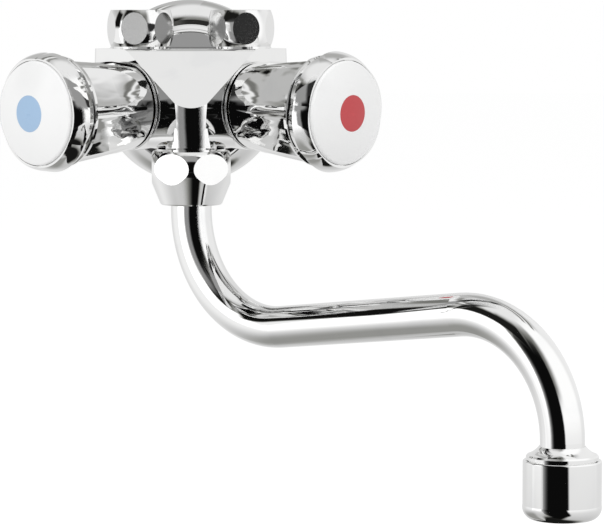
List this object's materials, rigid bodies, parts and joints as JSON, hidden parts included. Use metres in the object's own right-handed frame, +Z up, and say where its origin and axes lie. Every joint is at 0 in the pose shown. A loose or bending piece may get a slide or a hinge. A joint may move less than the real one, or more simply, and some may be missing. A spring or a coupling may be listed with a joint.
{
  "type": "basin mixer",
  "caption": "Chromed wall-mounted basin mixer with fluted hot and cold handles, an S-shaped swivel spout and union nuts on top for riser pipes.",
  "frame": {"origin": "axis of the threaded wall tail, at the wall's face", "axes": "+Y along the wall tail into the wall, +Z up, +X to the user's right"},
  "size_m": [0.2156, 0.2146, 0.1795],
  "materials": {
    "body_chrome": "polished",
    "rosette_chrome": "polished",
    "nut_chrome": "polished",
    "spout_chrome": "polished",
    "handle_chrome": "polished",
    "cap_white": "gloss",
    "dot_blue": "gloss",
    "dot_red": "gloss",
    "brass": "machined",
    "seal_rubber": "matt",
    "white_nylon": "matt",
    "steel": "machined"
  },
  "bodies": {
    "fixture": {"mixer_body": "body_chrome", "wall_rosette": "rosette_chrome", "rosette_grip_ring": "seal_rubber", "wall_nipple": "brass", "wall_lock_nut": "brass", "wall_seal": "seal_rubber", "inlet_strainer": "steel", "spout_nut": "nut_chrome", "spout_slip_ring": "white_nylon", "left_union_nut": "nut_chrome", "left_union_seal": "seal_rubber", "left_compression_ring": "brass", "right_union_nut": "nut_chrome", "right_union_seal": "seal_rubber", "right_compression_ring": "brass", "cold_bonnet": "brass", "cold_bonnet_gasket": "seal_rubber", "hot_bonnet": "brass", "hot_bonnet_gasket": "seal_rubber"},
    "spout": {"spout_tube": "spout_chrome", "spout_collar": "brass", "spout_seals": "seal_rubber", "spout_end": "spout_chrome", "aerator_shell": "spout_chrome", "aerator_insert": "white_nylon", "aerator_seal": "seal_rubber"},
    "cold_handle": {"cold_grip": "handle_chrome", "cold_rim": "handle_chrome", "cold_cap": "cap_white", "cold_dot": "dot_blue", "cold_spindle": "brass", "cold_spindle_seals": "seal_rubber", "cold_spindle_clip": "steel", "cold_handle_screw": "steel"},
    "hot_handle": {"hot_grip": "handle_chrome", "hot_rim": "handle_chrome", "hot_cap": "cap_white", "hot_dot": "dot_red", "hot_spindle": "brass", "hot_spindle_seals": "seal_rubber", "hot_spindle_clip": "steel", "hot_handle_screw": "steel"},
    "cold_valve": {"cold_plunger": "brass", "cold_seat_washer": "seal_rubber"},
    "hot_valve": {"hot_plunger": "brass", "hot_seat_washer": "seal_rubber"}
  },
  "joints": [
    {"name": "spout_swivel", "type": "hinge", "parent": "fixture", "child": "spout", "pos_m": [0, -0.058, -0.03], "axis": [0, 0, 1], "range_deg": [-145, 55]},
    {"name": "cold_handle_turn", "type": "hinge", "parent": "fixture", "child": "cold_handle", "pos_m": [-0.02505, -0.04845, -0.00415], "axis": [-0.7068, -0.7068, -0.0297], "range_deg": [0, 810]},
    {"name": "cold_valve_lift", "type": "slide", "parent": "fixture", "child": "cold_valve", "axis": [-0.7068, -0.7068, -0.0297], "range_m": [0, 0.0045]},
    {"name": "hot_handle_turn", "type": "hinge", "parent": "fixture", "child": "hot_handle", "pos_m": [0.02505, -0.04845, -0.00415], "axis": [0.7068, -0.7068, -0.0297], "range_deg": [0, 810]},
    {"name": "hot_valve_lift", "type": "slide", "parent": "fixture", "child": "hot_valve", "axis": [0.7068, -0.7068, -0.0297], "range_m": [0, 0.0045]}
  ],
  "couplings": [
    {"joint": "cold_valve_lift", "follows": "cold_handle_turn", "m_per_rad": 0.0003183},
    {"joint": "hot_valve_lift", "follows": "hot_handle_turn", "m_per_rad": 0.0003183}
  ]
}
